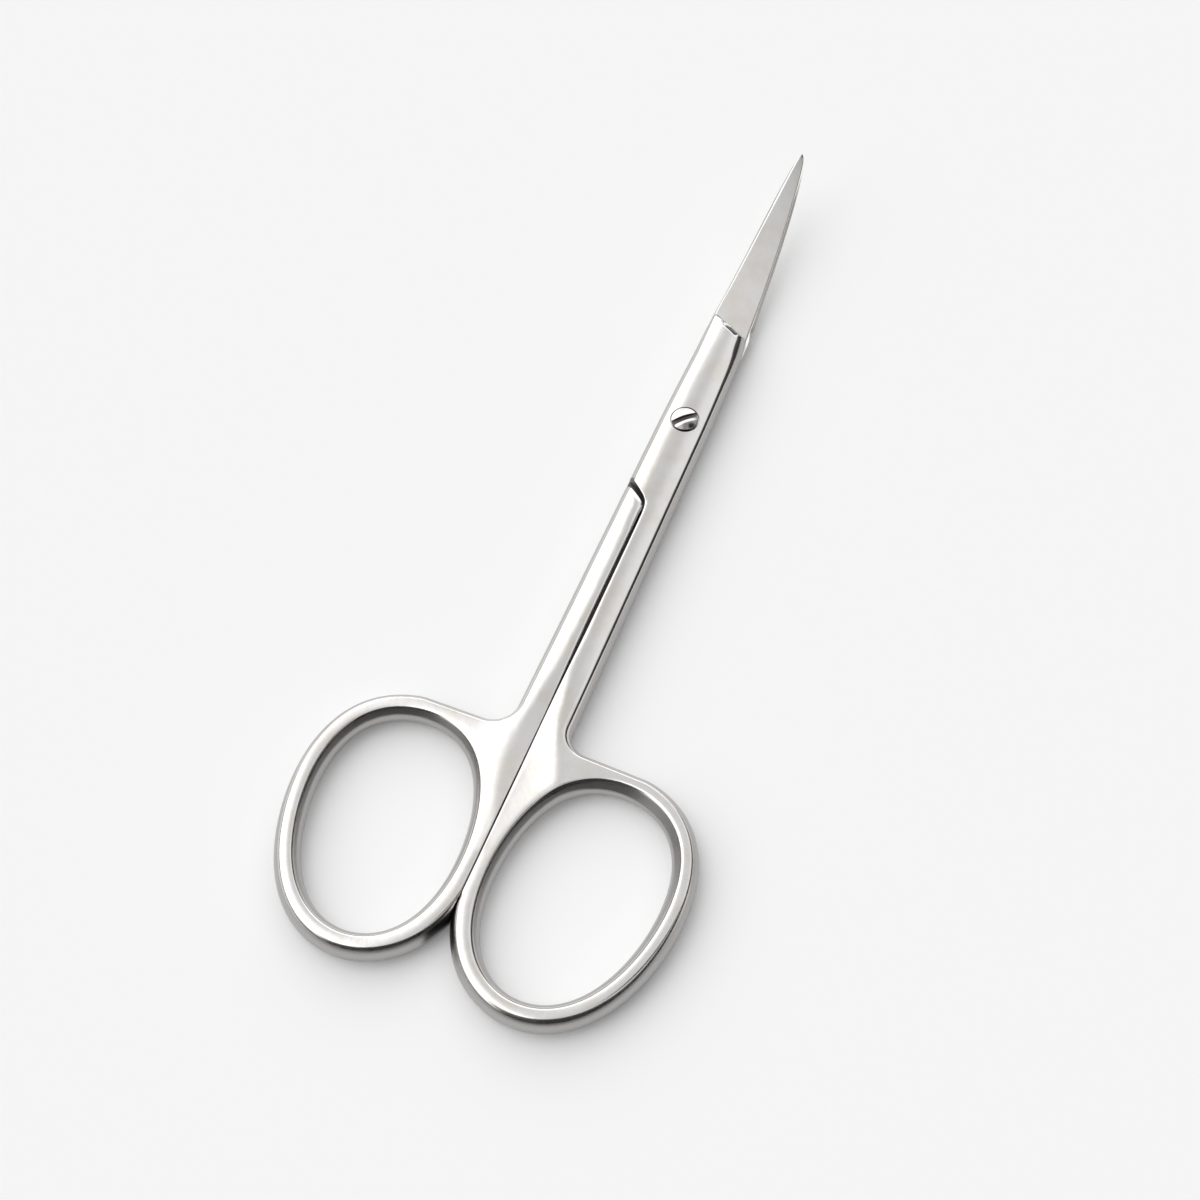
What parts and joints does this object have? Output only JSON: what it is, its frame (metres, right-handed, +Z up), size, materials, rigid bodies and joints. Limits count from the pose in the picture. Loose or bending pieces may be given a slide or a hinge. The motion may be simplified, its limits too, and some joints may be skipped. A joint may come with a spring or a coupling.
{
  "type": "cuticle scissors",
  "caption": "Fine curved cuticle scissors, closed: oval finger bows, slim polished shanks, satin-ground pointed blades crossing at a slotted pivot screw.",
  "frame": {"origin": "centre of the closed scissors' outline seen from above, on the surface they lie on", "axes": "+X from the finger bows to the blade tips, +Y to the left seen from above with the tips ahead, +Z up, the way the blades curve"},
  "size_m": [0.0936, 0.0372, 0.0062],
  "materials": {
    "polished_steel": "polished, slightly brushed, with satin-ground blade faces",
    "screw_steel": "turned and polished"
  },
  "bodies": {
    "lower_body": {"lower_half": "polished_steel", "pivot_screw": "screw_steel"},
    "upper_body": {"upper_half": "polished_steel"}
  },
  "joints": [
    {"name": "pivot", "type": "hinge", "parent": "lower_body", "child": "upper_body", "pos_m": [0.0144, 0, 0.00135], "axis": [0, 0, 1], "range_deg": [0, 90]}
  ]
}
